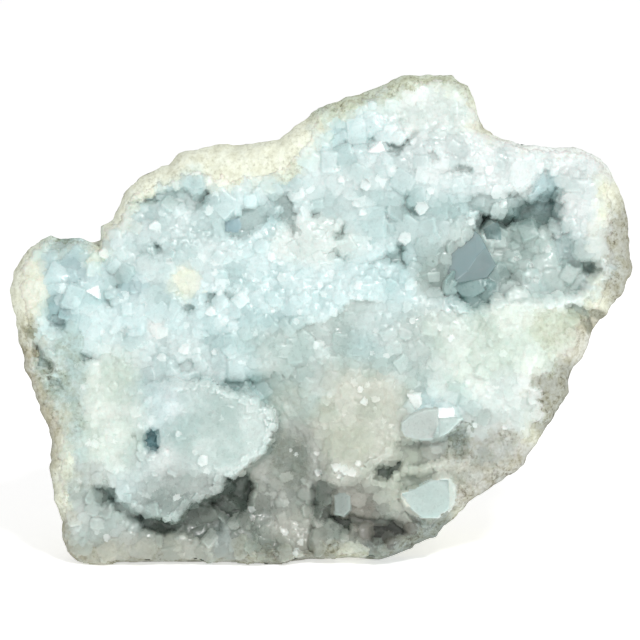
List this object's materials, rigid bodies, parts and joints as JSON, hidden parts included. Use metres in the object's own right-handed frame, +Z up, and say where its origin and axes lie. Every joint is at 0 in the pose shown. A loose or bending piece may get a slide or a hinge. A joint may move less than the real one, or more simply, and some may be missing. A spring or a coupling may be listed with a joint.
{
  "type": "celestite geode",
  "caption": "Broken half of a celestite geode: a rough cream rind round an open face of pale blue crystals with ledges and one deep pocket.",
  "frame": {"origin": "centre of the bounding box in plan, at the level of the flat break that it stands on", "axes": "+Z up; +X to the right of someone who looks at the crystals; the crystal face looks along -Y and leans back by 10 degrees"},
  "size_m": [0.248, 0.1006, 0.1934],
  "materials": {
    "rind": "rough, sugary rock, cream with tan and grey-brown specks",
    "crystals": "glossy, translucent pale blue crystal faces"
  },
  "bodies": {
    "root": {"rind": "rind", "crystal_crust": "crystals"}
  },
  "joints": []
}
